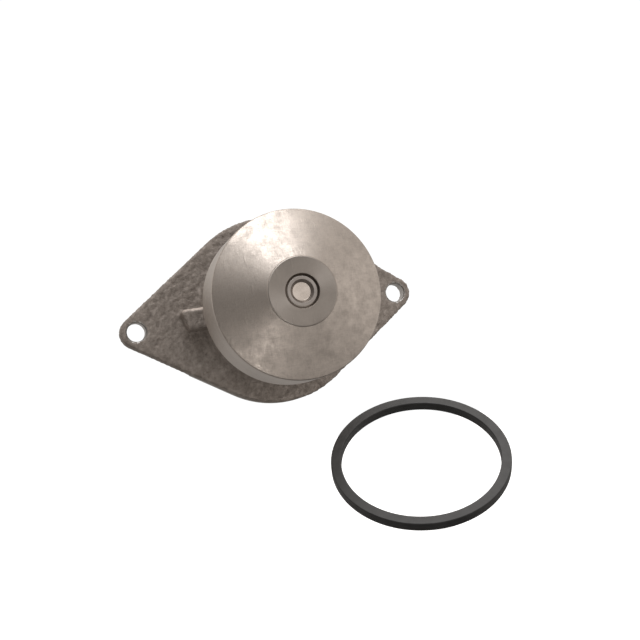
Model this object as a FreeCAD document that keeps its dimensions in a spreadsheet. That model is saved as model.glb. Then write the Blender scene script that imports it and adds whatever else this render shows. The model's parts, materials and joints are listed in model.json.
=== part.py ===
"""Engine water pump with a two-eared cast body, a flat-belt pulley and a loose body seal ring.

Frame, in millimetres: the origin is on the shaft axis in the plane of the ears' back faces, which
bolt to the engine.  +Y runs along the shaft into the engine, so the pulley is at -Y and the
impeller at +Y.  +X runs along the line of the two bolt holes and +Z is up.
Every turned piece is drawn as a half profile in the XY plane, x being the radius and y the place
along the shaft, and is revolved about Y.
"""
import FreeCAD, Part
import math
import os
import re
import Sketcher
from FreeCAD import Placement, Rotation, Vector

doc = FreeCAD.newDocument("WaterPump")

# ---------------------------------------------------------------- driving dimensions
DIMENSIONS = {
    # cast body
    "bolt_spacing": 136.0,
    "bolt_hole_dia": 9.5,
    "ear_rad": 8.1,
    "ear_thick": 8.2,
    "body_dia": 94.9,
    "middle_x": 2.3,
    "middle_z": 1.1,
    "register_dia": 107.0,
    "register_depth": 3.0,
    "casting_edge": 1.2,
    "dome_dia": 66.0,
    "dome_rise": 4.0,
    "neck_dia": 41.0,
    "neck_root_dia": 52.0,
    "neck_front": -63.2,
    "boss_end": -46.0,
    "boss_lean": 3.4,
    "boss_top": 6.6,
    "boss_bottom": -4.2,
    "boss_rise": 11.0,
    "boss_round": 1.8,
    "weep_dia": 5.0,
    "weep_place": -14.5,
    "chamber_dia": 27.0,
    "chamber_front": -22.7,
    "seal_bore_dia": 36.5,
    "seal_bore_front": -11.5,
    "cavity_dia": 69.6,
    "cavity_floor": -1.5,
    "groove_inner_dia": 78.6,
    "groove_outer_dia": 90.4,
    "groove_depth": 3.7,
    # shaft and bearing
    "shaft_dia": 15.918,
    "shaft_front": -87.4,
    "shaft_rear": 22.0,
    "recess_mouth_dia": 11.0,
    "recess_floor_dia": 8.4,
    "recess_depth": 1.6,
    "bearing_dia": 30.0,
    "bearing_length": 39.0,
    "bearing_front": -62.2,
    "bearing_land_dia": 24.4,
    "race_gap": 0.15,
    "ball_dia": 6.2,
    "ball_count": 8,
    "ball_pitch_dia": 20.5,
    "ball_row": -52.2,
    "roller_dia": 5.0,
    "roller_length": 10.0,
    "roller_count": 10,
    "roller_pitch_dia": 21.3,
    "roller_row": -33.2,
    "cage_inner_dia": 17.2,
    "cage_outer_dia": 23.4,
    "lip_gap": 0.3,
    "lip_thick": 2.2,
    # mechanical shaft seal
    "case_wall": 0.8,
    "seat_face": 0.8,
    "carbon_inner_dia": 19.0,
    "carbon_outer_dia": 26.0,
    "seat_outer_dia": 27.0,
    "seat_thick": 4.0,
    "cup_wall": 1.2,
    "spring_wire_dia": 1.5,
    "spring_mean_dia": 30.6,
    "spring_pitch": 2.1,
    "spring_length": 6.3,
    # pulley
    "pulley_dia": 80.2,
    "pulley_front": -76.9,
    "pulley_width": 28.3,
    "rim_wall": 3.6,
    "web_thick": 4.2,
    "hub_face": -88.2,
    "hub_face_dia": 33.0,
    "hub_boss_dia": 27.0,
    "hub_rear": -65.2,
    "hub_chamfer": 0.5,
    "bore_chamfer": 0.2,
    "rim_edge": 0.8,
    # impeller
    "impeller_dia": 66.0,
    "impeller_front": 6.0,
    "shroud_thick": 3.2,
    "impeller_rear": 21.0,
    "impeller_hub_dia": 28.0,
    "vane_count": 6,
    "vane_thick": 3.4,
    "vane_curve_rad": 24.0,
    "vane_curve_x": 14.0,
    "vane_curve_z": -19.0,
    # loose body seal ring
    "ring_dia": 89.6,
    "ring_width": 5.3,
    "ring_height": 5.0,
    "ring_edge": 0.7,
    "ring_x": 57.6,
    "ring_y": -34.2,
    "ring_z": -87.1,
    "ring_tilt": 43.3,
    "ring_yaw": -8.4,
}

sheet = doc.addObject("Spreadsheet::Sheet", "dims")
for row, (alias, number) in enumerate(DIMENSIONS.items(), start=1):
    sheet.set("A%d" % row, alias)
    sheet.set("B%d" % row, str(number))
    sheet.setAlias("B%d" % row, alias)
doc.recompute()


def bound(expression):
    """The expression with every alias of the sheet written as the sheet's own cell."""
    def cell(word):
        return "dims." + word.group() if word.group() in DIMENSIONS else word.group()
    return re.sub(r"[a-z_]+", cell, expression)


def value(expression):
    """What the expression comes to now."""
    result = sheet.evalExpression(bound(expression))
    return float(getattr(result, "Value", result))


def bind(item, prop, expression):
    item.setExpression(prop, bound(expression))


# ---------------------------------------------------------------- sketches and bodies
def new_body(name):
    body = doc.addObject("PartDesign::Body", name)
    body.Label = name
    return body


def plane(body, role):
    return next(f for f in body.Origin.OriginFeatures if f.Role == role)


def new_sketch(body, name, role, lift=None):
    """An empty sketch on one of the body's own planes, raised along its normal by lift."""
    sketch = body.newObject("Sketcher::SketchObject", name)
    sketch.AttachmentSupport = (plane(body, role), "")
    sketch.MapMode = "FlatFace"
    if lift:
        bind(sketch, "AttachmentOffset.Base.z", lift)
    return sketch


def constrain(sketch, kind, *places, size=None):
    """Adds a constraint, whose size, if it has one, stays bound to the sheet."""
    if size is None:
        return sketch.addConstraint(Sketcher.Constraint(kind, *places))
    number = sketch.addConstraint(Sketcher.Constraint(kind, *places, value(size)))
    bind(sketch, "Constraints[%d]" % number, size)
    return number


def polygon(sketch, corners):
    """A closed outline of straight lines through corners, each an (x, y) pair of expressions."""
    points = [Vector(value(x), value(y), 0) for x, y in corners]
    count = len(points)
    lines = [sketch.addGeometry(Part.LineSegment(points[i], points[(i + 1) % count]), False)
             for i in range(count)]
    for i, line in enumerate(lines):
        constrain(sketch, "Coincident", line, 2, lines[(i + 1) % count], 1)
    for line, (x, y) in zip(lines, corners):
        constrain(sketch, "DistanceX", -1, 1, line, 1, size=x)
        constrain(sketch, "DistanceY", -1, 1, line, 1, size=y)
    return lines


def circle(sketch, x, y, radius, construction=False):
    where = Vector(value(x), value(y), 0)
    number = sketch.addGeometry(Part.Circle(where, Vector(0, 0, 1), value(radius)), construction)
    constrain(sketch, "DistanceX", -1, 1, number, 3, size=x)
    constrain(sketch, "DistanceY", -1, 1, number, 3, size=y)
    constrain(sketch, "Radius", number, size=radius)
    return number


def turned(body, name, corners, cut=False):
    """Revolves a half profile about the shaft axis, as metal added or as a groove cut away."""
    sketch = new_sketch(body, name + "_profile", "XY_Plane")
    polygon(sketch, corners)
    feature = body.newObject("PartDesign::Groove" if cut else "PartDesign::Revolution", name)
    feature.Profile = sketch
    feature.ReferenceAxis = (sketch, ["V_Axis"])
    feature.Angle = 360
    doc.recompute()
    return feature


def turned_piece(name, corners):
    body = new_body(name)
    turned(body, name + "_turned", corners)
    return body


def rectangle(inner, outer, low, high):
    """The four corners of a ring's section: two radii and two places along the shaft."""
    return [(inner, low), (outer, low), (outer, high), (inner, high)]


def pad(body, sketch, name, length, back=False):
    feature = body.newObject("PartDesign::Pad", name)
    feature.Profile = sketch
    feature.Reversed = back
    bind(feature, "Length", length)
    doc.recompute()
    return feature


def pocket(body, sketch, name, length=None, back=False):
    """Cuts the sketch's outline to a length, or right through when no length is given."""
    before = body.Shape.Volume
    feature = body.newObject("PartDesign::Pocket", name)
    feature.Profile = sketch
    feature.Reversed = back
    if length:
        bind(feature, "Length", length)
    else:
        feature.Type = "ThroughAll"
        feature.Midplane = True
    doc.recompute()
    if body.Shape.Volume > before - 1:
        raise RuntimeError(name + " cuts nothing")
    return feature


def circular_edges(shape, radius, place):
    """The names of the full circles about the shaft with this radius at this place along it."""
    found = []
    for number, edge in enumerate(shape.Edges, start=1):
        curve = edge.Curve
        if not isinstance(curve, Part.Circle):
            continue
        middle = curve.Center
        on_axis = math.hypot(middle.x, middle.z) < 0.01
        if on_axis and abs(curve.Radius - radius) < 0.01 and abs(middle.y - place) < 0.01:
            found.append("Edge%d" % number)
    if not found:
        raise RuntimeError("no circle of radius %g at %g" % (radius, place))
    return found


def dress(body, kind, name, edges, size):
    """A PartDesign Fillet or Chamfer on the named edges of the body's newest feature."""
    base = body.Tip
    feature = body.newObject("PartDesign::" + kind, name)
    feature.Base = (base, edges)
    bind(feature, "Radius" if kind == "Fillet" else "Size", size)
    doc.recompute()
    return feature


# ---------------------------------------------------------------- cast body
def outward(ear, waist, ear_radius, waist_radius, side):
    """The angle at which a line on this side, +1 or -1, touches both an ear and the waist."""
    towards = ear - waist
    spread = math.acos((waist_radius - ear_radius) / towards.Length)
    return math.atan2(towards.y, towards.x) + side * spread


def flange_outline(sketch):
    """Two ear arcs and two arcs of the round middle, joined by four lines tangent to both."""
    reach = value("bolt_spacing / 2")
    ear = value("ear_rad")
    waist = value("body_dia / 2")
    middle = Vector(value("middle_x"), value("middle_z"), 0)
    right = Vector(reach, 0, 0)
    left = Vector(-reach, 0, 0)
    turn = 2 * math.pi
    right_low = outward(right, middle, ear, waist, -1)
    right_high = outward(right, middle, ear, waist, 1)
    left_high = outward(left, middle, ear, waist, -1) % turn
    left_low = outward(left, middle, ear, waist, 1) % turn
    arcs = []
    for centre, radius, start, end in (
            (right, ear, right_low, right_high),
            (middle, waist, right_high, left_high),
            (left, ear, left_high, left_low),
            (middle, waist, left_low, right_low + turn)):
        full = Part.Circle(centre, Vector(0, 0, 1), radius)
        arcs.append(sketch.addGeometry(Part.ArcOfCircle(full, start, end), False))
    for number in range(4):
        here = arcs[number]
        after = arcs[(number + 1) % 4]
        start = sketch.getPoint(here, 2)
        end = sketch.getPoint(after, 1)
        side = sketch.addGeometry(Part.LineSegment(start, end), False)
        constrain(sketch, "Tangent", here, 2, side, 1)
        constrain(sketch, "Tangent", side, 2, after, 1)
    right_ear, upper_waist, left_ear, lower_waist = arcs
    for waist_arc in (upper_waist, lower_waist):
        constrain(sketch, "DistanceX", -1, 1, waist_arc, 3, size="middle_x")
        constrain(sketch, "DistanceY", -1, 1, waist_arc, 3, size="middle_z")
        constrain(sketch, "Radius", waist_arc, size="body_dia / 2")
    for ear_arc, place in ((right_ear, "bolt_spacing / 2"), (left_ear, "-1 * bolt_spacing / 2")):
        constrain(sketch, "PointOnObject", ear_arc, 3, -1)
        constrain(sketch, "DistanceX", -1, 1, ear_arc, 3, size=place)
        constrain(sketch, "Radius", ear_arc, size="ear_rad")


def cut_ring(body, name, inner, outer, start, length):
    """Cuts a flat-bottomed ring about the round middle's own centre, out towards the engine."""
    sketch = new_sketch(body, name + "_outline", "XZ_Plane", lift="-1 * (%s)" % start)
    circle(sketch, "middle_x", "middle_z", inner)
    circle(sketch, "middle_x", "middle_z", outer)
    pocket(body, sketch, name, length=length)


def round_boss(body):
    """Rounds the outer end and the long front edges of the drain boss."""
    front = value("-1 * ear_thick - boss_rise")
    low, high = value("boss_bottom - 1"), value("boss_top + 1")
    end = value("boss_end + boss_lean + 1")
    edges = []
    for number, edge in enumerate(body.Shape.Edges, start=1):
        box = edge.BoundBox
        on_boss = box.ZMin > low and box.ZMax < high and box.YMin < value("-1 * ear_thick - 1")
        at_end = box.XMax < end
        lengthwise = abs(box.YMin - front) < 0.01 and abs(box.YMax - front) < 0.01
        if on_boss and (at_end or lengthwise) and box.XMin < -25:
            edges.append("Edge%d" % number)
    dress(body, "Fillet", "drain_boss_round", edges, "boss_round")


def make_housing():
    body = new_body("housing")
    outline = new_sketch(body, "flange_outline", "XZ_Plane", lift="-1 * register_depth")
    flange_outline(outline)
    pad(body, outline, "flange", "ear_thick + register_depth")
    # the engine side is cut down outside the register, which leaves the ears thinner
    cut_ring(body, "ear_relief", "register_dia / 2", "bolt_spacing", "0", "register_depth + 1")
    front = value("-1 * ear_thick")
    rim = [name for name, edge in (("Edge%d" % number, edge)
                                   for number, edge in enumerate(body.Shape.Edges, start=1))
           if all(abs(vertex.Y - front) < 0.01 for vertex in edge.Vertexes)]
    dress(body, "Fillet", "casting_round", rim, "casting_edge")
    # raised dome on the front, then the neck that carries the bearing
    turned(body, "neck", [
        ("0", "-2"),
        ("dome_dia / 2 + dome_rise", "-2"),
        ("dome_dia / 2 + dome_rise", "-1 * ear_thick"),
        ("dome_dia / 2", "-1 * ear_thick - dome_rise"),
        ("neck_root_dia / 2 + 1", "-1 * ear_thick - dome_rise - 0.6"),
        ("neck_root_dia / 2 - 2", "-1 * ear_thick - dome_rise - 4"),
        ("neck_dia / 2 + 0.6", "neck_front + 16"),
        ("neck_dia / 2", "neck_front + 13"),
        ("neck_dia / 2", "neck_front + 1"),
        ("neck_dia / 2 - 1", "neck_front"),
        ("0", "neck_front")])
    boss = new_sketch(body, "drain_boss_outline", "XZ_Plane", lift="2")
    polygon(boss, [("boss_end + boss_lean", "boss_bottom"), ("-15", "boss_bottom"),
                   ("-15", "boss_top"), ("boss_end", "boss_top")])
    pad(body, boss, "drain_boss", "ear_thick + boss_rise - 2")
    round_boss(body)
    # one stepped bore: bearing, drain chamber, seal seat and impeller cavity
    turned(body, "stepped_bore", [
        ("0", "neck_front - 1"),
        ("bearing_dia / 2", "neck_front - 1"),
        ("bearing_dia / 2", "chamber_front"),
        ("chamber_dia / 2", "chamber_front"),
        ("chamber_dia / 2", "seal_bore_front"),
        ("seal_bore_dia / 2", "seal_bore_front"),
        ("seal_bore_dia / 2", "cavity_floor"),
        ("cavity_dia / 2", "cavity_floor"),
        ("cavity_dia / 2", "register_depth + 1"),
        ("0", "register_depth + 1")], cut=True)
    cut_ring(body, "ring_groove", "groove_inner_dia / 2", "groove_outer_dia / 2",
             "register_depth - groove_depth", "groove_depth + 1")
    holes = new_sketch(body, "bolt_holes_outline", "XZ_Plane")
    for place in ("bolt_spacing / 2", "-1 * bolt_spacing / 2"):
        circle(holes, place, "0", "bolt_hole_dia / 2")
    pocket(body, holes, "bolt_holes")
    weep = new_sketch(body, "weep_outline", "YZ_Plane", lift="boss_end - 5")
    circle(weep, "weep_place", "(boss_top + boss_bottom) / 2", "weep_dia / 2")
    pocket(body, weep, "weep_passage", length="-1 * boss_end + 5", back=True)
    return body


# ---------------------------------------------------------------- pulley and impeller
def make_pulley():
    """A drum open at the back, a conical web and a hub pressed on the shaft."""
    body = new_body("pulley")
    web_rise = "(pulley_front - hub_face) / (pulley_dia / 2 - hub_face_dia / 2)"
    web_axial = "web_thick * 1.12"
    at_rim = "pulley_front + %s - %s * rim_wall" % (web_axial, web_rise)
    at_boss = "hub_face + %s - %s * (hub_face_dia - hub_boss_dia) / 2" % (web_axial, web_rise)
    turned(body, "pulley_turned", [
        ("shaft_dia / 2", "hub_face"),
        ("hub_face_dia / 2", "hub_face"),
        ("pulley_dia / 2", "pulley_front"),
        ("pulley_dia / 2", "pulley_front + pulley_width"),
        ("pulley_dia / 2 - rim_wall", "pulley_front + pulley_width"),
        ("pulley_dia / 2 - rim_wall", at_rim),
        ("hub_boss_dia / 2", at_boss),
        ("hub_boss_dia / 2", "hub_rear"),
        ("shaft_dia / 2", "hub_rear")])
    shape = body.Shape
    inside = circular_edges(shape, value("pulley_dia / 2 - rim_wall"), value(at_rim))
    inside += circular_edges(shape, value("hub_boss_dia / 2"), value(at_boss))
    dress(body, "Fillet", "web_rounds", inside, "rim_wall - 0.6")
    shape = body.Shape
    rims = circular_edges(shape, value("pulley_dia / 2"), value("pulley_front"))
    rims += circular_edges(shape, value("pulley_dia / 2"), value("pulley_front + pulley_width"))
    dress(body, "Fillet", "rim_rounds", rims, "rim_edge")
    shape = body.Shape
    hub_rim = circular_edges(shape, value("hub_face_dia / 2"), value("hub_face"))
    dress(body, "Chamfer", "hub_chamfer", hub_rim, "hub_chamfer")
    bore_mouth = circular_edges(body.Shape, value("shaft_dia / 2"), value("hub_face"))
    dress(body, "Chamfer", "bore_chamfer", bore_mouth, "bore_chamfer")
    return body


def make_impeller():
    """A round shroud and hub with curved vanes that face the engine."""
    body = new_body("impeller")
    turned(body, "impeller_turned", [
        ("shaft_dia / 2", "impeller_front"),
        ("impeller_dia / 2", "impeller_front"),
        ("impeller_dia / 2", "impeller_front + shroud_thick - 0.8"),
        ("impeller_dia / 2 - 0.8", "impeller_front + shroud_thick"),
        ("impeller_hub_dia / 2 + 2", "impeller_front + shroud_thick"),
        ("impeller_hub_dia / 2", "impeller_front + shroud_thick + 2"),
        ("impeller_hub_dia / 2 - 1", "impeller_rear"),
        ("shaft_dia / 2", "impeller_rear")])
    sketch = new_sketch(body, "vane_outline", "XZ_Plane", lift="-1 * impeller_front - 1")
    inner_end = circle(sketch, "0", "0", "impeller_hub_dia / 2 - 2", construction=True)
    outer_end = circle(sketch, "0", "0", "impeller_dia / 2 - 1", construction=True)
    middle = Vector(value("vane_curve_x"), value("vane_curve_z"), 0)
    arcs = []
    for size in ("vane_curve_rad - vane_thick / 2", "vane_curve_rad + vane_thick / 2"):
        radius = value(size)
        angles = [crossing(middle, radius, value("impeller_dia / 2 - 1")),
                  crossing(middle, radius, value("impeller_hub_dia / 2 - 2"))]
        full = Part.Circle(middle, Vector(0, 0, 1), radius)
        arc = sketch.addGeometry(Part.ArcOfCircle(full, angles[0], angles[1]), False)
        constrain(sketch, "DistanceX", -1, 1, arc, 3, size="vane_curve_x")
        constrain(sketch, "DistanceY", -1, 1, arc, 3, size="vane_curve_z")
        constrain(sketch, "Radius", arc, size=size)
        constrain(sketch, "PointOnObject", arc, 1, outer_end)
        constrain(sketch, "PointOnObject", arc, 2, inner_end)
        arcs.append(arc)
    for end in (1, 2):
        tips = [sketch.getPoint(arc, end) for arc in arcs]
        cap = sketch.addGeometry(Part.LineSegment(tips[0], tips[1]), False)
        constrain(sketch, "Coincident", cap, 1, arcs[0], end)
        constrain(sketch, "Coincident", cap, 2, arcs[1], end)
    vane = pad(body, sketch, "vane", "impeller_rear - impeller_front - 2", back=True)
    ring = body.newObject("PartDesign::PolarPattern", "vanes")
    ring.Originals = [vane]
    ring.Axis = (sketch, ["N_Axis"])
    ring.Angle = 360
    bind(ring, "Occurrences", "vane_count")
    body.Tip = ring
    doc.recompute()
    return body


def crossing(middle, radius, reach):
    """The angle, about middle, where its circle first crosses the circle of reach round the axis."""
    distance = middle.Length
    towards = math.atan2(-middle.y, -middle.x)
    cosine = (radius ** 2 + distance ** 2 - reach ** 2) / (2 * radius * distance)
    return towards - math.acos(cosine)


# ---------------------------------------------------------------- shaft and bearing
def make_shaft():
    """The hardened bearing shaft, with a ball groove and a turned recess in its front end."""
    body = turned_piece("bearing_shaft", [
        ("0", "shaft_front + recess_depth"),
        ("recess_floor_dia / 2", "shaft_front + recess_depth"),
        ("recess_mouth_dia / 2", "shaft_front"),
        ("shaft_dia / 2 - 1", "shaft_front"),
        ("shaft_dia / 2", "shaft_front + 1"),
        ("shaft_dia / 2", "shaft_rear - 1"),
        ("shaft_dia / 2 - 1", "shaft_rear"),
        ("0", "shaft_rear")])
    ball_groove(body, "shaft_race")
    return body


def ball_groove(body, name):
    """Cuts the balls' path: a round section centred on their pitch circle."""
    sketch = new_sketch(body, name + "_section", "XY_Plane")
    circle(sketch, "ball_pitch_dia / 2", "ball_row", "ball_dia / 2 + race_gap")
    feature = body.newObject("PartDesign::Groove", name)
    feature.Profile = sketch
    feature.ReferenceAxis = (sketch, ["V_Axis"])
    feature.Angle = 360
    before = body.Shape.Volume
    doc.recompute()
    if body.Shape.Volume > before - 1:
        raise RuntimeError(name + " cuts nothing")


def make_outer_ring():
    rear = "bearing_front + bearing_length"
    seat = "bearing_dia / 2 - 1.7"
    race = "roller_pitch_dia / 2 + roller_dia / 2 + race_gap"
    body = turned_piece("bearing_outer_ring", [
        ("bearing_dia / 2 - 0.6", "bearing_front"),
        ("bearing_dia / 2", "bearing_front + 0.6"),
        ("bearing_dia / 2", rear + " - 0.6"),
        ("bearing_dia / 2 - 0.6", rear),
        (seat, rear),
        (seat, rear + " - lip_thick - 0.4"),
        ("bearing_land_dia / 2", rear + " - lip_thick - 0.4"),
        ("bearing_land_dia / 2", "roller_row + roller_length / 2 + 0.6"),
        (race, "roller_row + roller_length / 2 + 0.6"),
        (race, "roller_row - roller_length / 2 - 0.6"),
        ("bearing_land_dia / 2", "roller_row - roller_length / 2 - 0.6"),
        ("bearing_land_dia / 2", "bearing_front + lip_thick + 0.4"),
        (seat, "bearing_front + lip_thick + 0.4"),
        (seat, "bearing_front")])
    ball_groove(body, "outer_race")
    return body


def make_bearing_seal(name, start):
    """A ring pressed into the outer ring, with a lip that stops just short of the shaft."""
    turned_piece(name, [
        ("shaft_dia / 2 + lip_gap", start + " + 0.5"),
        ("shaft_dia / 2 + lip_gap + 1", start),
        ("bearing_dia / 2 - 1.7", start),
        ("bearing_dia / 2 - 1.7", start + " + lip_thick"),
        ("shaft_dia / 2 + lip_gap + 1.4", start + " + lip_thick - 0.8"),
        ("shaft_dia / 2 + lip_gap", start + " + 1.1")])


def place_on_circle(item, expression_radius, row, number, count):
    """Binds an item's place on a pitch circle about the shaft, the first one half a step past +X."""
    angle = "360 deg * (%d + 0.5) / %s" % (number, count)
    bind(item, "Placement.Base.x", "%s * cos(%s)" % (expression_radius, angle))
    bind(item, "Placement.Base.y", row)
    bind(item, "Placement.Base.z", "%s * sin(%s)" % (expression_radius, angle))


def make_balls():
    balls = []
    for number in range(int(value("ball_count"))):
        ball = doc.addObject("Part::Sphere", "ball_%d" % (number + 1))
        bind(ball, "Radius", "ball_dia / 2")
        place_on_circle(ball, "ball_pitch_dia / 2", "ball_row", number, "ball_count")
        balls.append(ball)
    group = doc.addObject("Part::MultiFuse", "bearing_balls")
    group.Shapes = balls
    group.Label = "bearing_balls"
    return group


def make_rollers():
    along_shaft = Rotation(Vector(1, 0, 0), -90)
    rollers = []
    for number in range(int(value("roller_count"))):
        roller = doc.addObject("Part::Cylinder", "roller_%d" % (number + 1))
        roller.Placement = Placement(Vector(0, 0, 0), along_shaft)
        bind(roller, "Radius", "roller_dia / 2")
        bind(roller, "Height", "roller_length")
        place_on_circle(roller, "roller_pitch_dia / 2", "roller_row - roller_length / 2",
                        number, "roller_count")
        rollers.append(roller)
    group = doc.addObject("Part::MultiFuse", "bearing_rollers")
    group.Shapes = rollers
    group.Label = "bearing_rollers"
    return group


def make_cage(name, row, half_width, window, start, count, pitch):
    """A ring between the races, cut by one window for each ball or roller."""
    body = new_body(name + "_blank")
    turned(body, name + "_ring", rectangle("cage_inner_dia / 2", "cage_outer_dia / 2",
                                           "%s - %s" % (row, half_width), "%s + %s" % (row, half_width)))
    windows = []
    for number in range(int(value(count))):
        cutter = window("%s_window_%d" % (name, number + 1))
        place_on_circle(cutter, pitch + " / 2", start, number, count)
        windows.append(cutter)
    cutters = doc.addObject("Part::MultiFuse", name + "_windows")
    cutters.Shapes = windows
    cage = doc.addObject("Part::Cut", name)
    cage.Base = body
    cage.Tool = cutters
    cage.Label = name
    return cage


def ball_window(name):
    cutter = doc.addObject("Part::Sphere", name)
    bind(cutter, "Radius", "ball_dia / 2 + race_gap")
    return cutter


def roller_window(name):
    """A cylinder along the shaft, a little longer and wider than a roller."""
    cutter = doc.addObject("Part::Cylinder", name)
    cutter.Placement = Placement(Vector(0, 0, 0), Rotation(Vector(1, 0, 0), -90))
    bind(cutter, "Radius", "roller_dia / 2 + race_gap")
    bind(cutter, "Height", "roller_length + 2 * race_gap")
    return cutter


# ---------------------------------------------------------------- mechanical shaft seal
def make_shaft_seal():
    """The pressed cup, bellows, spring and carbon that stand still, and the seat that turns."""
    wall = "seal_bore_dia / 2"
    floor = "seal_bore_front"
    turned_piece("seal_case", [
        ("carbon_inner_dia / 2", floor),
        (wall, floor),
        (wall, "cavity_floor"),
        (wall + " + 1.8", "cavity_floor"),
        (wall + " + 1.8", "cavity_floor + case_wall"),
        (wall + " - case_wall", "cavity_floor + case_wall"),
        (wall + " - case_wall", floor + " + case_wall"),
        ("carbon_inner_dia / 2", floor + " + case_wall")])
    turned_piece("spring_seat", [
        ("carbon_outer_dia / 2 + 0.6", floor + " + case_wall"),
        (wall + " - case_wall - 0.1", floor + " + case_wall"),
        (wall + " - case_wall - 0.1", floor + " + case_wall + 0.6"),
        ("carbon_outer_dia / 2 + 0.6", floor + " + case_wall + 0.6")])
    turned_piece("seal_bellows", [
        ("carbon_inner_dia / 2", floor + " + case_wall"),
        ("carbon_outer_dia / 2 + 0.3", floor + " + case_wall"),
        ("carbon_outer_dia / 2 + 0.3", floor + " + case_wall + 1.2"),
        ("carbon_inner_dia / 2 + 1.2", floor + " + case_wall + 1.2"),
        ("carbon_inner_dia / 2 + 1.2", "seat_face - 4.6"),
        ("spring_mean_dia / 2 + 0.9", "seat_face - 4.6"),
        ("spring_mean_dia / 2 + 0.9", "seat_face - 3.4"),
        ("carbon_inner_dia / 2", "seat_face - 3.4")])
    turned_piece("carbon_ring", [
        ("carbon_inner_dia / 2", "seat_face - 3.4"),
        ("carbon_outer_dia / 2", "seat_face - 3.4"),
        ("carbon_outer_dia / 2", "seat_face - 0.9"),
        ("carbon_outer_dia / 2 - 1.2", "seat_face - 0.9"),
        ("carbon_outer_dia / 2 - 1.2", "seat_face - 0.05"),
        ("carbon_inner_dia / 2", "seat_face - 0.05")])
    turned_piece("ceramic_seat", rectangle("shaft_dia / 2 + cup_wall", "seat_outer_dia / 2",
                                           "seat_face", "seat_face + seat_thick"))
    turned_piece("seat_cup", [
        ("shaft_dia / 2", "seat_face + 0.5"),
        ("shaft_dia / 2 + cup_wall", "seat_face + 0.5"),
        ("shaft_dia / 2 + cup_wall", "seat_face + seat_thick"),
        ("seat_outer_dia / 2", "seat_face + seat_thick"),
        ("seat_outer_dia / 2", "impeller_front"),
        ("shaft_dia / 2", "impeller_front")])
    make_seal_spring()
    turned_piece("slinger", rectangle("shaft_dia / 2", "chamber_dia / 2 - 0.9",
                                      "chamber_front + 1.6", "chamber_front + 2.8"))


def make_seal_spring():
    """A round wire swept along a helix between the spring seat and the bellows head."""
    along_shaft = Rotation(Vector(1, 0, 0), -90)
    helix = doc.addObject("Part::Helix", "spring_path")
    bind(helix, "Radius", "spring_mean_dia / 2")
    bind(helix, "Pitch", "spring_pitch")
    bind(helix, "Height", "spring_length - spring_wire_dia - 0.7")
    helix.SegmentLength = 0
    wire = doc.addObject("Part::Circle", "spring_section")
    bind(wire, "Radius", "spring_wire_dia / 2")
    wire.Placement = Placement(Vector(0, 0, 0), Rotation(Vector(1, 0, 0), 90))
    bind(wire, "Placement.Base.x", "spring_mean_dia / 2")
    spring = doc.addObject("Part::Sweep", "seal_spring")
    spring.Sections = [wire]
    spring.Spine = (helix, ["Edge1"])
    spring.Solid = True
    spring.Frenet = True
    spring.Label = "seal_spring"
    spring.Placement = Placement(Vector(0, 0, 0), along_shaft)
    bind(spring, "Placement.Base.y", "seal_bore_front + case_wall + 0.65 + spring_wire_dia / 2")
    return spring


# ---------------------------------------------------------------- loose body seal ring
def make_ring():
    """The square-section rubber ring, lying tilted beside the pump."""
    body = turned_piece("body_seal_ring", rectangle("ring_dia / 2 - ring_width", "ring_dia / 2",
                                                    "-1 * ring_height / 2", "ring_height / 2"))
    edges = ["Edge%d" % number for number, edge in enumerate(body.Shape.Edges, start=1)
             if isinstance(edge.Curve, Part.Circle)]
    dress(body, "Fillet", "ring_rounds", edges, "ring_edge")
    upright = Rotation(Vector(1, 0, 0), 90)
    tilt = Rotation(Vector(1, 0, 0), value("ring_tilt"))
    yaw = Rotation(Vector(0, 0, 1), value("ring_yaw"))
    body.Placement = Placement(Vector(0, 0, 0), yaw * tilt * upright)
    for coordinate in "xyz":
        bind(body, "Placement.Base." + coordinate, "ring_" + coordinate)
    return body


make_housing()
make_outer_ring()
make_bearing_seal("front_bearing_seal", "bearing_front")
make_bearing_seal("rear_bearing_seal", "bearing_front + bearing_length - lip_thick")
make_shaft()
make_balls()
make_cage("ball_cage", "ball_row", "(ball_dia / 2 + 1.1)", ball_window, "ball_row", "ball_count",
          "ball_pitch_dia")
make_rollers()
make_cage("roller_cage", "roller_row", "(roller_length / 2 + 1.3)", roller_window,
          "roller_row - roller_length / 2 - race_gap", "roller_count", "roller_pitch_dia")
make_shaft_seal()
make_pulley()
make_impeller()
make_ring()
doc.recompute()

# ---------------------------------------------------------------- checks and export
NODES = ["housing", "bearing_outer_ring", "front_bearing_seal", "rear_bearing_seal", "bearing_shaft",
         "bearing_balls", "ball_cage", "bearing_rollers", "roller_cage", "slinger", "seal_case",
         "spring_seat", "seal_bellows", "seal_spring", "carbon_ring", "ceramic_seat", "seat_cup",
         "pulley", "impeller", "body_seal_ring"]

for item in doc.Objects:
    if "Invalid" in item.State or "Error" in item.State:
        raise RuntimeError("%s is %s" % (item.Label, item.State))

os.makedirs("parts", exist_ok=True)
for label in NODES:
    piece = doc.getObjectsByLabel(label)[0]
    shape = piece.Shape
    if shape.isNull() or not shape.isValid():
        raise RuntimeError(label + " has no valid shape")
    shape.exportStep(os.path.join("parts", label + ".step"))
    box = shape.BoundBox
    print("%-20s solids %2d  volume %9.1f  x %.1f..%.1f  y %.1f..%.1f  z %.1f..%.1f" % (
        label, len(shape.Solids), shape.Volume, box.XMin, box.XMax, box.YMin, box.YMax,
        box.ZMin, box.ZMax))
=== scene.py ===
"""Looks of the engine water pump: cast body, turned pulley, impeller and loose seal ring.

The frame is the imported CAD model, in metres: the shaft runs along Y with the pulley at -Y, the two
bolt holes lie along X and +Z is up.  Turned pieces are built again as fine lathed meshes, the two
castings as dense meshes with a sand-cast relief, and the pieces inside keep their CAD mesh.
"""
import json
import math

import bmesh
import bpy
import numpy as np
from mathutils import Matrix, Vector, noise


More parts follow.
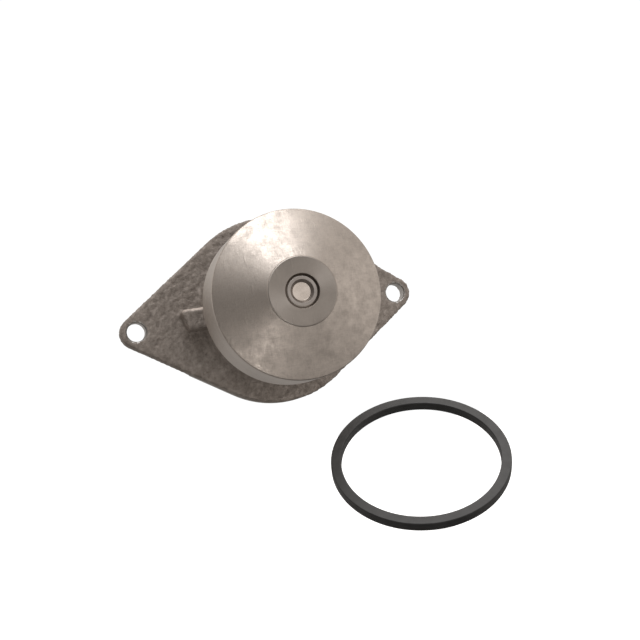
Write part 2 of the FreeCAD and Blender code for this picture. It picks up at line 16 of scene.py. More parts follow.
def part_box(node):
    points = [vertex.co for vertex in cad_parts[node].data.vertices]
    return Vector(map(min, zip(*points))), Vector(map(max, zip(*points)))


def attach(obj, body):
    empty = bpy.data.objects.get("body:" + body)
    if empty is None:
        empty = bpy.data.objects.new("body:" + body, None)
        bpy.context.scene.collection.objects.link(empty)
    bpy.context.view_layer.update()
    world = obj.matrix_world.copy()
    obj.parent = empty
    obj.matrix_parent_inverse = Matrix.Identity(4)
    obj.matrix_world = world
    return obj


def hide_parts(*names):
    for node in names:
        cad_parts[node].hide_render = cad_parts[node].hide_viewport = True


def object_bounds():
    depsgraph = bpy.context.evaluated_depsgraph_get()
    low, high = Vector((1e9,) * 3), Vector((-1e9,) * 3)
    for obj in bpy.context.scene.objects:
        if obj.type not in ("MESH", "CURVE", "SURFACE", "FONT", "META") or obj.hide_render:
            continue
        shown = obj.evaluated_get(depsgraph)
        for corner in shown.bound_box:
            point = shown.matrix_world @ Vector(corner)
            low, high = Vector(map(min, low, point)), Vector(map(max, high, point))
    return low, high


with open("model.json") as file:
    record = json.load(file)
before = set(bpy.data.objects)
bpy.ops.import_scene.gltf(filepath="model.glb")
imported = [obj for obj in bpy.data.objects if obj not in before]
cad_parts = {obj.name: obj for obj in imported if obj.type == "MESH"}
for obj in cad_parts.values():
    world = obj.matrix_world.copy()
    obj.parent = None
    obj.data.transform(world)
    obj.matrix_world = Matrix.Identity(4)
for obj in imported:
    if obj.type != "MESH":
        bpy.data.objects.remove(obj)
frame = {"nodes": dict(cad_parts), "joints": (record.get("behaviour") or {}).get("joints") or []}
cad_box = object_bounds()

MM = 0.001
SCENE = bpy.context.scene


# ---------------------------------------------------------------- sizes read from the frame
def edges_of(node):
    """A turned node's largest radius and its two ends along the shaft, in millimetres."""
    low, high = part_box(node)
    return high.z / MM, low.y / MM, high.y / MM


PULLEY_RADIUS, HUB_FACE, DRUM_REAR = edges_of("pulley")
SHAFT_RADIUS, SHAFT_FRONT, SHAFT_REAR = edges_of("bearing_shaft")
NECK_FRONT = edges_of("housing")[1]
LOWEST = cad_box[0][2]
INSET = 0.02            # turned faces stay this far inside the CAD, in millimetres
BOLT_HOLE_AT = 68.0     # each bolt hole's distance from the shaft, in millimetres


# ---------------------------------------------------------------- node material helpers
class Paint:
    """A material's node tree, built up by short calls."""

    def __init__(self, name):
        self.material = bpy.data.materials.new(name)
        self.material.use_nodes = True
        self.nodes = self.material.node_tree.nodes
        self.links = self.material.node_tree.links
        self.shader = self.nodes["Principled BSDF"]

    def node(self, kind, inputs=None, **settings):
        item = self.nodes.new("ShaderNode" + kind)
        for key, setting in settings.items():
            setattr(item, key, setting)
        for key, source in (inputs or {}).items():
            self.feed(item.inputs[key], source)
        return item

    def feed(self, socket, source):
        if isinstance(source, bpy.types.NodeSocket):
            self.links.new(source, socket)
        else:
            socket.default_value = source

    def set(self, **sockets):
        for key, source in sockets.items():
            self.feed(self.shader.inputs[key.replace("_", " ")], source)

    def place(self):
        return self.node("TexCoord").outputs["Object"]

    def noise(self, scale, detail=4.0, rough=0.55, stretch=None):
        """Noise over the piece, in features per metre; stretch scales it along x, y and z."""
        where = self.place()
        if stretch:
            where = self.node("Mapping", {"Vector": where, "Scale": stretch}).outputs["Vector"]
        made = self.node("TexNoise", {"Vector": where, "Scale": scale, "Detail": detail,
                                      "Roughness": rough})
        return made.outputs["Fac"]

    def maths(self, operation, first, second=0.5):
        made = self.node("Math", operation=operation)
        self.feed(made.inputs[0], first)
        self.feed(made.inputs[1], second)
        return made.outputs[0]

    def ramp(self, source, stops):
        """Colours at places along the source; Blender sorts the stops by their place."""
        made = self.node("ValToRGB", {"Fac": source})
        elements = made.color_ramp.elements
        for number, (at, colour) in enumerate(stops):
            element = elements[number] if number < 2 else elements.new(at)
            element.position = at
            element.color = colour if len(colour) == 4 else (*colour, 1.0)
        return made.outputs["Color"]

    def span(self, source, low, high, start=0.3, end=0.7):
        """Maps start..end of a source onto low..high."""
        made = self.node("MapRange", {"Value": source, "From Min": start, "From Max": end,
                                      "To Min": low, "To Max": high})
        return made.outputs["Result"]

    def bump(self, height, distance, strength, under=None):
        """A bump of this height in metres, laid over the bump under it."""
        made = self.node("Bump", {"Height": height, "Distance": distance, "Strength": strength})
        if under:
            self.links.new(under, made.inputs["Normal"])
        return made.outputs["Normal"]

    def shaft_distance(self):
        """Distance from the shaft plus the place along it, so turned rings follow any face."""
        split = self.node("SeparateXYZ", {"Vector": self.place()})
        across = self.node("CombineXYZ", {"X": split.outputs["X"], "Z": split.outputs["Z"]})
        length = self.node("VectorMath", {0: across.outputs[0]}, operation="LENGTH")
        return self.maths("ADD", length.outputs["Value"], split.outputs["Y"])


def cast_iron(name, dark, middle, light, rough=0.58):
    """Sand-cast iron: a mottled skin, darker in the pits and brighter on the high spots, and
    brightest where a painted highlight is laid.
    """
    paint = Paint(name)
    # The relief height also carries the painted highlight on the drain boss's edge.
    relief = paint.node("Attribute", attribute_name="relief").outputs["Fac"]
    patches = paint.noise(130.0, 6.0, 0.62)
    specks = paint.noise(900.0, 4.0, 0.65)
    shades = paint.maths("ADD", paint.maths("MULTIPLY", patches, 0.3),
                         paint.maths("MULTIPLY", specks, 0.3))
    mottled = paint.maths("ADD", paint.maths("MULTIPLY", relief, 0.4), shades)
    # The brightest stop lightens the relief's highest spots and paints the highlight on the drain
    # boss's edge.
    peak_and_highlight_gain = 1.55
    worn = tuple(min(0.9, part * peak_and_highlight_gain) for part in light)
    colour = paint.ramp(mottled, [(0.28, dark), (0.72, light), (0.5, middle), (0.96, worn)])
    grain = paint.noise(1500.0, 6.0, 0.7)
    lumps = paint.noise(420.0, 4.0, 0.6)
    paint.set(Base_Color=colour, Metallic=0.55,
              Roughness=paint.span(paint.noise(600.0), rough - 0.1, rough + 0.12))
    coarse = paint.bump(lumps, 0.0006, 0.9)
    paint.set(Normal=paint.bump(grain, 0.0002, 0.8, coarse))
    return paint.material


def turned_metal(name, tint, rough, grain, pitch=0.00045, depth=0.00001, spread=0.05,
                 stain=0.12, clouds=0.0):
    """Metal cut on a lathe: rings about the shaft, a stretched gloss, stains and scratches.

    grain is how far the gloss is stretched, pitch and depth are the rings' in metres, spread and
    stain are how much the roughness and the tint vary, and clouds is the share of worn marks.
    """
    paint = Paint(name)
    shade = paint.noise(60.0, 5.0, 0.6)
    flecks = paint.noise(900.0, 3.0, 0.6)
    mixed = paint.maths("ADD", paint.maths("MULTIPLY", shade, 0.7),
                        paint.maths("MULTIPLY", flecks, 0.3))
    if clouds:
        cloudy = paint.noise(190.0, 7.0, 0.68)
        along = paint.noise(330.0, 5.0, 0.6, (1.0, 1.0, 6.0))
        across = paint.noise(330.0, 5.0, 0.6, (6.0, 1.0, 1.0))
        marks = paint.maths("MULTIPLY", paint.maths("ADD", along, across), 0.5)
        worn = paint.maths("ADD", paint.maths("MULTIPLY", cloudy, 0.6),
                           paint.maths("MULTIPLY", marks, 0.4))
        kept = paint.maths("MULTIPLY", mixed, 1.0 - clouds)
        mixed = paint.maths("ADD", kept, paint.maths("MULTIPLY", worn, clouds))
    low = tuple(part * (1 - stain) for part in tint)
    high = tuple(min(1.0, part * (1 + stain * 0.6)) for part in tint)
    half = 0.2 - 0.13 * clouds
    paint.set(Base_Color=paint.ramp(mixed, [(0.5 - half, low), (0.5 + half, high)]), Metallic=1.0,
              Anisotropic=grain,
              Roughness=paint.span(mixed, rough + spread, rough - spread, 0.5 - half, 0.5 + half))
    paint.set(Tangent=paint.node("Tangent", direction_type="RADIAL", axis="Y").outputs[0])
    turns = paint.maths("MULTIPLY", paint.shaft_distance(), 2 * math.pi / pitch)
    rings = paint.maths("SINE", turns)
    scratches = paint.noise(1400.0, 4.0, 0.65)
    fine = paint.bump(rings, depth, 0.6)
    dents = paint.bump(scratches, depth * 2.5, 0.5, fine)
    if clouds:
        nicks = paint.span(paint.noise(520.0, 3.0, 0.5, (1.0, 1.0, 0.16)), 0.0, 1.0, 0.62, 0.7)
        dents = paint.bump(nicks, depth * 5.0, 0.5, dents)
    paint.set(Normal=dents)
    return paint.material


def rubber(name, colour, rough=0.5, dust=0.35):
    """Moulded black rubber with a faint bloom and fine pores."""
    paint = Paint(name)
    bloom = paint.noise(140.0, 5.0, 0.6)
    pale = tuple(part + (0.16 - part) * dust for part in colour)
    paint.set(Base_Color=paint.ramp(bloom, [(0.35, colour), (0.75, pale)]),
              Roughness=paint.span(paint.noise(500.0), rough - 0.08, rough + 0.1))
    paint.set(Specular_IOR_Level=0.45)
    soft = paint.bump(paint.noise(260.0, 3.0), 0.00008, 0.6)
    paint.set(Normal=paint.bump(paint.noise(3000.0, 3.0), 0.00002, 0.6, soft))
    return paint.material


def smooth_metal(name, tint, rough):
    """Ground, drawn or stamped metal with fine random marks."""
    paint = Paint(name)
    marks = paint.noise(700.0, 6.0, 0.7)
    dull = tuple(part * 0.82 for part in tint)
    paint.set(Base_Color=paint.ramp(marks, [(0.3, dull), (0.7, tint)]), Metallic=1.0,
              Roughness=paint.span(marks, rough - 0.05, rough + 0.08))
    paint.set(Normal=paint.bump(paint.noise(2200.0, 4.0), 0.00001, 0.6))
    return paint.material


def moulded(name, colour, rough, gloss=0.5):
    """Plastic, carbon or ceramic: an even colour with a slight mottle and fine grain."""
    paint = Paint(name)
    mottle = paint.noise(320.0, 4.0, 0.6)
    deep = tuple(part * 0.8 for part in colour)
    paint.set(Base_Color=paint.ramp(mottle, [(0.3, deep), (0.7, colour)]),
              Roughness=paint.span(mottle, rough - 0.05, rough + 0.08))
    paint.set(Specular_IOR_Level=gloss)
    paint.set(Normal=paint.bump(paint.noise(2600.0, 3.0), 0.00001, 0.7))
    return paint.material


CAST_BODY = cast_iron("cast_body_skin", (0.20, 0.170, 0.148), (0.335, 0.288, 0.252),
                      (0.46, 0.402, 0.358))
CAST_IMPELLER = cast_iron("cast_impeller_skin", (0.10, 0.088, 0.077), (0.21, 0.187, 0.166),
                          (0.28, 0.255, 0.23))
MACHINED_IRON = turned_metal("machined_iron", (0.47, 0.445, 0.42), rough=0.36, grain=0.55,
                             pitch=0.0007, depth=0.00002)
PULLEY_STEEL = turned_metal("pulley_steel", (0.60, 0.532, 0.474), rough=0.36, grain=0.72,
                            spread=0.07, stain=0.2, clouds=0.8)
DRUM_STEEL = turned_metal("drum_steel", (0.62, 0.56, 0.505), rough=0.42, grain=0.45, clouds=0.3)
HUB_STEEL = turned_metal("hub_steel", (0.44, 0.395, 0.355), rough=0.34, grain=0.85, clouds=0.3)
INNER_STEEL = turned_metal("inner_drum_steel", (0.40, 0.37, 0.34), rough=0.5, grain=0.3,
                           pitch=0.0009, depth=0.00003)
SHAFT_STEEL = turned_metal("shaft_steel", (0.66, 0.64, 0.62), rough=0.22, grain=0.5)
SHAFT_FACE = turned_metal("shaft_face_steel", (0.50, 0.455, 0.42), rough=0.38, grain=0.6,
                          pitch=0.0004)
# The recess's wall is painted dark as the shade inside the recess.
SHAFT_RECESS_PAINTED_SHADE = turned_metal("shaft_recess_painted_shade", (0.30, 0.268, 0.245), rough=0.5, grain=0.3)
# The recess's floor is painted near white as a painted highlight, much brighter than the steel
# around it.
SHAFT_END_PAINTED_HIGHLIGHT = turned_metal("shaft_end_painted_highlight", (0.92, 0.82, 0.735), rough=0.25, grain=0.85,
                         pitch=0.0003)
RACE_STEEL = smooth_metal("race_steel", (0.66, 0.66, 0.65), 0.22)
STAMPED_STEEL = smooth_metal("stamped_steel", (0.58, 0.57, 0.55), 0.38)
SPRING_WIRE = smooth_metal("spring_wire", (0.55, 0.55, 0.56), 0.3)
DRAWN_BRASS = smooth_metal("drawn_brass", (0.78, 0.60, 0.30), 0.33)
SEAL_RUBBER = rubber("seal_rubber", (0.022, 0.022, 0.023))
# One rubber in two colours: the flat faces painted lighter as painted light, the walls painted
# darker as painted shade.
RING_FACE_PAINTED_LIGHT = rubber("ring_face_painted_light", (0.085, 0.084, 0.083), 0.44, 0.3)
RING_WALL_PAINTED_SHADE = rubber("ring_wall_painted_shade", (0.020, 0.0195, 0.019), 0.5, 0.15)
NYLON = moulded("nylon_cage", (0.60, 0.52, 0.38), 0.45)
CARBON = moulded("lapped_carbon", (0.035, 0.035, 0.038), 0.28)
CERAMIC = moulded("lapped_ceramic", (0.86, 0.85, 0.80), 0.18)


# ---------------------------------------------------------------- lathed meshes
def rounded(corners, steps=5, closed=True):
    """The profile with each corner (radius, place, rounding) replaced by a short curve."""
    points = [Vector((corner[0], corner[1])) for corner in corners]
    count = len(points)
    made = []
    most = 0.48             # the share of an edge that one rounding may take
    for number, (corner, point) in enumerate(zip(corners, points)):
        size = corner[2] if len(corner) > 2 else 0.0
        at_end = not closed and number in (0, count - 1)
        if size <= 0 or at_end:
            made.append(point)
            continue
        back = points[number - 1] - point
        ahead = points[(number + 1) % count] - point
        half = back.angle(ahead) / 2
        reach = min(size / math.tan(half), most * back.length, most * ahead.length)
        start = point + back.normalized() * reach
        end = point + ahead.normalized() * reach
        for step in range(steps + 1):
            t = step / steps
            made.append(start * (1 - t) ** 2 + point * 2 * t * (1 - t) + end * t ** 2)
    return made


def finer(points, longest, closed=True):
    """Adds points along the profile so that no stretch is longer than this."""
    made = []
    count = len(points)
    for number, point in enumerate(points):
        made.append(point)
        if not closed and number == count - 1:
            break
        after = points[(number + 1) % count]
        pieces = max(1, math.ceil((after - point).length / longest))
        made += [point.lerp(after, step / pieces) for step in range(1, pieces)]
    return made


def lathe(name, corners, paints, pick, segments, closed=True, longest=2.5):
    """Revolves a profile in millimetres about Y; pick chooses a face's paint from (radius, y)."""
    profile = finer(rounded(corners, closed=closed), longest, closed)
    mesh = bmesh.new()
    rings = []
    for point in profile:
        if point.x < 1e-6:
            rings.append([mesh.verts.new((0, point.y * MM, 0))] * segments)
            continue
        ring = []
        for step in range(segments):
            angle = 2 * math.pi * step / segments
            ring.append(mesh.verts.new((point.x * MM * math.cos(angle), point.y * MM,
                                        point.x * MM * math.sin(angle))))
        rings.append(ring)
    spans = len(profile) if closed else len(profile) - 1
    for number in range(spans):
        here = rings[number]
        after = rings[(number + 1) % len(profile)]
        middle = (profile[number] + profile[(number + 1) % len(profile)]) / 2
        for step in range(segments):
            beside = (step + 1) % segments
            corners_of_face = []
            for vertex in (here[step], here[beside], after[beside], after[step]):
                if vertex not in corners_of_face:
                    corners_of_face.append(vertex)
            face = mesh.faces.new(corners_of_face)
            face.smooth = True
            face.material_index = pick(middle.x, middle.y)
    bmesh.ops.recalc_face_normals(mesh, faces=mesh.faces)
    data = bpy.data.meshes.new(name)
    mesh.to_mesh(data)
    mesh.free()
    for paint in paints:
        data.materials.append(paint)
    piece = bpy.data.objects.new(name, data)
    SCENE.collection.objects.link(piece)
    weighted = piece.modifiers.new("even_shading", "WEIGHTED_NORMAL")
    weighted.weight = 90
    return piece


def stands_for(piece, node, body):
    """Puts a new mesh in the place of a CAD node, on the same body."""
    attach(piece, body)
    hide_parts(node)


def make_pulley():
    """Drum, conical front and pressed hub in one lathed piece."""
    cone_depth = 11.3       # from the hub's face back to the rim's front edge
    cone_inner = 16.5       # where the cone starts, outside the hub's bevel
    drum_wall = 3.6
    web = 4.7               # thickness of the cone, along the shaft
    boss_radius = 13.5
    hub_length = 23.0
    rim_front = HUB_FACE + cone_depth
    drum_inside = PULLEY_RADIUS - drum_wall
    slope = cone_depth / (PULLEY_RADIUS - cone_inner)
    at_rim = rim_front + web - slope * drum_wall
    at_boss = HUB_FACE + web - slope * (cone_inner - boss_radius)
    corners = [
        (SHAFT_RADIUS + INSET, HUB_FACE + 0.3, 0.05),
        (SHAFT_RADIUS + 0.24, HUB_FACE + INSET, 0.06),
        (15.75, HUB_FACE + INSET, 0.1),
        (16.2, HUB_FACE + 0.22, 0.1),
        (cone_inner, HUB_FACE + 0.62, 0.1),
        (PULLEY_RADIUS - INSET, rim_front, 0.9),
        (PULLEY_RADIUS - INSET, DRUM_REAR, 0.8),
        (drum_inside, DRUM_REAR, 0.6),
        (drum_inside, at_rim, 3.0),
        (boss_radius, at_boss, 3.0),
        (boss_radius, HUB_FACE + hub_length, 0.7),
        (SHAFT_RADIUS + INSET, HUB_FACE + hub_length, 0.5)]

    def pick(radius, place):
        """0 for the cone, 1 for the drum, 2 for the hub's face and 3 for the inside."""
        if radius < 16.2 and place < HUB_FACE + 0.4:
            return 2
        if radius > PULLEY_RADIUS - 0.15:
            return 1
        on_front = place < HUB_FACE + slope * (radius - cone_inner) + 1.0 and radius > 16.0
        return 0 if on_front else 3

    piece = lathe("pulley_turned", corners, [PULLEY_STEEL, DRUM_STEEL, HUB_STEEL, INNER_STEEL],
                  pick, segments=320)
    stands_for(piece, "pulley", "rotor")


def make_shaft():
    """The bearing shaft, with its ball groove and the turned recess in its front end."""
    ball_pitch = 10.25      # radius of the circle through the balls' centres
    groove = 3.25           # radius of the ball groove
    row = -52.2             # place of the ball row along the shaft
    groove_steps = 12
    recess_radius = 5.5
    recess_depth = 1.6
    centre_depth = 1.6      # of the centre drilling in the rear end
    half = math.sqrt(groove ** 2 - (ball_pitch - SHAFT_RADIUS) ** 2)
    corners = [
        (0.0, SHAFT_FRONT + recess_depth),
        (4.2, SHAFT_FRONT + recess_depth, 0.15),
        (recess_radius, SHAFT_FRONT + INSET, 0.2),
        (6.9, SHAFT_FRONT + INSET, 0.25),
        (SHAFT_RADIUS, SHAFT_FRONT + 1.05, 0.3),
        (SHAFT_RADIUS, row - half, 0.05)]
    start = math.atan2(-half, SHAFT_RADIUS - ball_pitch)
    sweep = 2 * (math.pi + start)
    for step in range(1, groove_steps):
        angle = start - sweep * step / groove_steps
        corners.append((ball_pitch + groove * math.cos(angle), row + groove * math.sin(angle)))
    corners += [
        (SHAFT_RADIUS, row + half, 0.05),
        (SHAFT_RADIUS, SHAFT_REAR - 1.0, 0.3),
        (SHAFT_RADIUS - 1.0, SHAFT_REAR - INSET, 0.3),
        (2.2, SHAFT_REAR - INSET, 0.1),
        (0.0, SHAFT_REAR - centre_depth)]

    def pick(radius, place):
        """0 for the ground shaft, 1 for its front face, 2 for the recess's wall in painted shade, 3
        its floor in a painted highlight.
        """
        if place > SHAFT_FRONT + 1.7:
            return 0
        if radius < 4.25:
            return 3
        return 2 if radius < recess_radius else 1

    paints = [SHAFT_STEEL, SHAFT_FACE, SHAFT_RECESS_PAINTED_SHADE, SHAFT_END_PAINTED_HIGHLIGHT]
    piece = lathe("shaft_turned", corners, paints, pick, segments=192, closed=False, longest=4.0)
    stands_for(piece, "bearing_shaft", "rotor")


def make_ring():
    """The moulded rubber ring, lying where its CAD node lies, with a fine parting line."""
    low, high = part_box("body_seal_ring")
    middle = (low + high) / 2
    lift = next(joint for joint in frame["joints"] if joint["name"] == "ring_lift")
    outer = 44.8
    inner = outer - 5.3     # the ring is 5.3 mm wide
    half = 2.5              # and 5 mm high
    line = 0.1              # half the height of the parting line
    inset = 0.06            # how far the walls stay inside the CAD
    corners = [
        (inner + inset, -half, 0.75),
        (outer - inset, -half, 0.75),
        (outer - inset, -line, 0.04),
        (outer - 0.01, 0.0, 0.04),
        (outer - inset, line, 0.04),
        (outer - inset, half, 0.75),
        (inner + inset, half, 0.75),
        (inner + inset, line, 0.04),
        (inner + 0.01, 0.0, 0.04),
        (inner + inset, -line, 0.04)]

    def pick(radius, place):
        """0 for the two flat faces, painted lighter, and 1 for the walls, painted darker as shade.
        """
        return 0 if abs(place) > half - 0.12 else 1

    piece = lathe("seal_ring_moulded", corners, [RING_FACE_PAINTED_LIGHT, RING_WALL_PAINTED_SHADE], pick, segments=320,
                  longest=1.0)
    turn = Vector((0, 1, 0)).rotation_difference(Vector(lift["axis"]))
    piece.data.transform(Matrix.Translation(middle) @ turn.to_matrix().to_4x4())
    stands_for(piece, "body_seal_ring", "loose_ring")


# ---------------------------------------------------------------- castings
def dense_copy(node, name, voxel):
    """A closed, evenly meshed copy of a CAD node, with edges softened to the voxel's size."""
    source = frame["nodes"][node]
    mesh = bmesh.new()
    mesh.from_mesh(source.data)
    bmesh.ops.remove_doubles(mesh, verts=mesh.verts, dist=1e-6)
    data = bpy.data.meshes.new(name + "_source")
    mesh.to_mesh(data)
    mesh.free()
    piece = bpy.data.objects.new(name, data)
    SCENE.collection.objects.link(piece)
    remesh = piece.modifiers.new("remesh", "REMESH")
    remesh.mode = "VOXEL"
    remesh.voxel_size = voxel
    remesh.use_smooth_shade = True
    view = bpy.context.evaluated_depsgraph_get()
    finished = bpy.data.meshes.new_from_object(piece.evaluated_get(view))
    piece.modifiers.clear()
    piece.data = finished
    finished.name = name
    return piece


def painted_edge_highlight(places):
    """Extra height, so extra brightness: a painted highlight along the drain boss's upper edge and
    painted light on its end.
    """
    x, y, z = places.T
    on_top = smoothstep(z, 4.4, 6.0) * smoothstep(-y, 13.5, 17.5) * (x < -20) * (z < 7.5)
    at_end = smoothstep(-x, 41.5, 43.0) * smoothstep(-y, 9.0, 11.0) * (np.abs(z) < 7.5)
    return np.maximum(on_top, 0.3 * at_end)


def add_relief(piece, node, is_cast, coarse, deep, fine, shallow):
    """Sinks cast skin by a rough relief, never outwards, and keeps its height, raised by a painted
    highlight on the drain boss's edge, for the paint.

    coarse and fine are the two noises' features per metre, deep and shallow their depths.
    """
    data = piece.data
    count = len(data.vertices)
    places = np.empty(count * 3)
    data.vertices.foreach_get("co", places)
    places = places.reshape(-1, 3)
    normals = np.empty(count * 3, np.float32)
    data.vertices.foreach_get("normal", normals)
    normals = normals.reshape(-1, 3)
    share = is_cast(places / MM)
    height = np.full(count, 0.5)
    # worn holds the painted highlight along the drain boss's upper edge and the painted light on its
    # end.
    worn = painted_edge_highlight(places / MM)
    for number in np.nonzero(share > 0.01)[0]:
        where = Vector(places[number])
        large = noise.fractal(where * coarse, 0.9, 2.1, 3)
        sharp = noise.turbulence(where * fine, 3, False)
        height[number] = min(1.0, max(0.0, 0.62 + 0.42 * large - 0.32 * sharp))
        # The drain boss's edge and end get extra height here, which the paint turns into a painted
        # highlight.
        height[number] += worn[number]
        sink = max(0.0, 1 - height[number]) * deep + sharp * shallow
        places[number] -= normals[number] * sink * share[number]
    low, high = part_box(node)
    places = np.clip(places, np.array(low), np.array(high))
    data.vertices.foreach_set("co", places.reshape(-1))
    relief = data.attributes.new("relief", "FLOAT", "POINT")
    relief.data.foreach_set("value", height.astype(np.float32))
    data.update()


def paint_faces(piece, paints, choose):
    """Gives each face the paint whose number choose works out from its middle."""
    data = piece.data
    for paint in paints:
        data.materials.append(paint)
    middles = np.empty(len(data.polygons) * 3, np.float32)
    data.polygons.foreach_get("center", middles)
    numbers = choose(middles.reshape(-1, 3) / MM)
    data.polygons.foreach_set("material_index", numbers.astype(np.int32))


def smoothstep(values, low, high):
    """0 at low and 1 at high, with a smooth rise between."""
    t = np.clip((values - low) / (high - low), 0, 1)
    return t * t * (3 - 2 * t)


def housing_cast(places):
    """How far each point of the housing is raw casting: 1 for cast skin, 0 where it is cut."""
    x, y, z = places.T
    from_axis = np.hypot(x, z)
    from_hole = np.hypot(np.abs(x) - BOLT_HOLE_AT, z)
    share = 1 - smoothstep(y, -1.6, -0.6)
    share *= smoothstep(from_hole, 4.9, 5.9)
    bore_radius = 19.4      # just past the wall of the bearing bore
    share[(from_axis < bore_radius) & (y > NECK_FRONT - 1)] = 0
    share *= smoothstep(y, NECK_FRONT + 0.2, NECK_FRONT + 1.6)
    return share


def housing_relief(places):
    """The depth of the relief: full on the flange, shallow on the drain boss and the neck."""
    on_boss = 1 - smoothstep(places.T[1], -13.0, -9.5)
    return housing_cast(places) * (1 - 0.75 * on_boss)


def make_housing():
    """Body casting: rough sand-cast skin, with turned faces on the engine side and in the bores."""
    piece = dense_copy("housing", "housing_cast", voxel=0.76 * MM)
    add_relief(piece, "housing", housing_relief, coarse=420.0, deep=0.46 * MM, fine=900.0,
               shallow=0.22 * MM)
    paint_faces(piece, [CAST_BODY, MACHINED_IRON],
                lambda places: (housing_cast(places) < 0.5).astype(int))
    stands_for(piece, "housing", "pump_body")


def impeller_cast(places):
    """How far each point of the impeller is raw casting: all but the end of its hub."""
    x, y, z = places.T
    from_axis = np.hypot(x, z)
    share = smoothstep(from_axis, 8.6, 9.4)
    share *= 1 - smoothstep(y, 19.9, 20.7)
    share *= 1 - smoothstep(from_axis, 33.0, 33.7)
    return share


def make_impeller():
    """Cast impeller with a turned face on the end of its hub."""
    piece = dense_copy("impeller", "impeller_cast", voxel=0.6 * MM)
    add_relief(piece, "impeller", impeller_cast, coarse=260.0, deep=0.3 * MM, fine=700.0,
               shallow=0.12 * MM)
    paint_faces(piece, [CAST_IMPELLER, MACHINED_IRON],
                lambda places: (impeller_cast(places) < 0.5).astype(int))
    stands_for(piece, "impeller", "rotor")


# ---------------------------------------------------------------- pieces that keep their CAD mesh
def paint_cad_nodes():
    """Gives the bearing, slinger and seal nodes their finishes."""
    finishes = {
        "bearing_outer_ring": RACE_STEEL, "bearing_balls": RACE_STEEL,
        "bearing_rollers": RACE_STEEL, "ball_cage": NYLON, "roller_cage": NYLON,
        "front_bearing_seal": SEAL_RUBBER, "rear_bearing_seal": SEAL_RUBBER,
        "slinger": STAMPED_STEEL, "seal_case": DRAWN_BRASS,
        "spring_seat": STAMPED_STEEL, "seal_bellows": SEAL_RUBBER, "seal_spring": SPRING_WIRE,
        "carbon_ring": CARBON, "ceramic_seat": CERAMIC, "seat_cup": SEAL_RUBBER}
    for node, finish in finishes.items():
        slots = frame["nodes"][node].data.materials
        slots.clear()
        slots.append(finish)


# ---------------------------------------------------------------- stage, light and camera
def make_floor():
    """A pale floor that shines white to the camera and leaves the light on the pump alone."""
    mesh = bmesh.new()
    bmesh.ops.create_grid(mesh, x_segments=8, y_segments=8, size=6.0)
    data = bpy.data.meshes.new("floor")
    mesh.to_mesh(data)
    mesh.free()
    floor = bpy.data.objects.new("floor", data)
    SCENE.collection.objects.link(floor)
    floor.location = (0, 0, LOWEST - 0.5 * MM)
    floor.visible_diffuse = False
    floor.visible_glossy = False
    floor.visible_shadow = False
    paint = Paint("pale_floor")
    paint.set(Base_Color=(0.9, 0.9, 0.9, 1), Roughness=0.9, Emission_Color=(1, 1, 1, 1),
              Emission_Strength=0.8)
    data.materials.append(paint.material)


def soft_light(name, towards, distance, width, height, power, tint=(1, 1, 1)):
    """A rectangular soft box at a distance from the pump, facing the pulley."""
    data = bpy.data.lights.new(name, "AREA")
    data.shape = "RECTANGLE"
    data.size = width
    data.size_y = height
    data.energy = power
    data.color = tint
    lamp = bpy.data.objects.new(name, data)
    SCENE.collection.objects.link(lamp)
    aim = Vector((0, -0.04, 0))     # about the middle of the pump
    direction = Vector(towards).normalized()
    lamp.location = aim + direction * distance
    lamp.rotation_euler = (-direction).to_track_quat("-Z", "Y").to_euler()


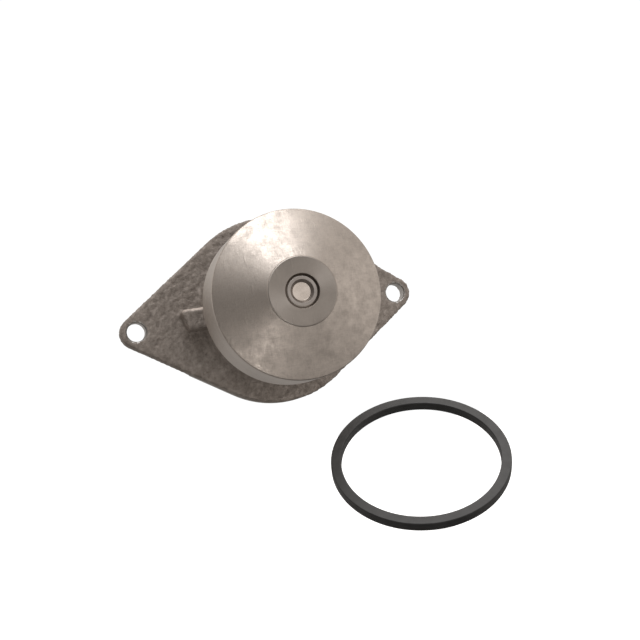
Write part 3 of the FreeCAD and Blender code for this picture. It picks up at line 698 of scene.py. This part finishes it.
def make_world():
    """A studio that is plain white to the camera and uneven as a light on the pump.

    The light is brighter behind, above and at the lower right, and darker at the left and below.
    """
    world = bpy.data.worlds.new("studio")
    SCENE.world = world
    world.use_nodes = True
    nodes = world.node_tree.nodes
    links = world.node_tree.links

    def facing(direction, start, end, low, high):
        """low..high as the view turns towards direction, from one cosine to the other."""
        dot = nodes.new("ShaderNodeVectorMath")
        dot.operation = "DOT_PRODUCT"
        links.new(where, dot.inputs[0])
        dot.inputs[1].default_value = Vector(direction).normalized()
        span = nodes.new("ShaderNodeMapRange")
        span.interpolation_type = "SMOOTHSTEP"
        for key, setting in (("From Min", start), ("From Max", end),
                             ("To Min", low), ("To Max", high)):
            span.inputs[key].default_value = setting
        links.new(dot.outputs["Value"], span.inputs["Value"])
        return span.outputs["Result"]

    def maths(operation, first, second):
        made = nodes.new("ShaderNodeMath")
        made.operation = operation
        for socket, source in zip(made.inputs, (first, second)):
            if isinstance(source, float):
                socket.default_value = source
            else:
                links.new(source, socket)
        return made.outputs[0]

    where = nodes.new("ShaderNodeTexCoord").outputs["Generated"]
    level = facing((0, 1, 0), -0.5, 0.9, 0.40, 0.62)
    level = maths("MULTIPLY", level, facing((0, -0.2, 1), -0.9, 0.6, 0.48, 1.2))
    level = maths("MULTIPLY", level, facing((-0.72, -0.69, -0.1), 0.6, 0.98, 1.0, 0.35))
    level = maths("MULTIPLY", level, facing((0.72, -0.5, -0.48), 0.4, 0.97, 1.0, 1.95))
    level = maths("MULTIPLY", level, facing((0.15, 0, 1), 0.7, 0.98, 1.0, 1.9))
    level = maths("MULTIPLY", level, facing((0.2, 0.1, -1), 0.7, 0.98, 1.0, 0.3))
    seen = nodes.new("ShaderNodeLightPath").outputs["Is Camera Ray"]
    chosen = nodes.new("ShaderNodeMix")
    links.new(seen, chosen.inputs["Factor"])
    links.new(level, chosen.inputs["A"])
    chosen.inputs["B"].default_value = 1.05
    back = nodes["Background"]
    links.new(chosen.outputs["Result"], back.inputs["Strength"])
    tint = nodes.new("ShaderNodeMix")
    tint.data_type = "RGBA"
    links.new(seen, tint.inputs["Factor"])
    tint.inputs[6].default_value = (1, 0.96, 0.925, 1)
    tint.inputs[7].default_value = (1, 1, 1, 1)
    links.new(tint.outputs[2], back.inputs["Color"])


def make_lights():
    """A large soft box above the pulley, and a small one below it and at the left."""
    soft_light("key_box", (-0.05, -0.58, 0.80), 0.95, 0.42, 0.5, 2.4, (0.95, 0.97, 1))
    soft_light("low_box", (-0.36, -0.77, -0.53), 1.0, 0.1, 0.14, 0.62, (1, 0.97, 0.94))


def make_camera():
    """The camera stands left of the shaft line and below it, rolled clockwise.

    The roll makes the line of the ears rise to the right.
    """
    data = bpy.data.cameras.new("camera")
    data.sensor_width = 36.0
    data.lens = 78.75
    camera = bpy.data.objects.new("camera", data)
    SCENE.collection.objects.link(camera)
    stands_at = Vector((-149.12, -702.49, -62.33)) * MM
    forward = Vector((0.24347, 0.96697, 0.07542)).normalized()
    up = Vector((0.15014, -0.1144, 0.98202))
    right = forward.cross(up).normalized()
    up = right.cross(forward)
    turn = Matrix((right, up, -forward)).transposed().to_4x4()
    camera.matrix_world = Matrix.Translation(stands_at) @ turn
    SCENE.camera = camera


make_camera()
make_pulley()
make_shaft()
make_ring()
make_housing()
make_impeller()
paint_cad_nodes()
make_floor()
make_world()
make_lights()
SCENE.view_settings.view_transform = "Standard"
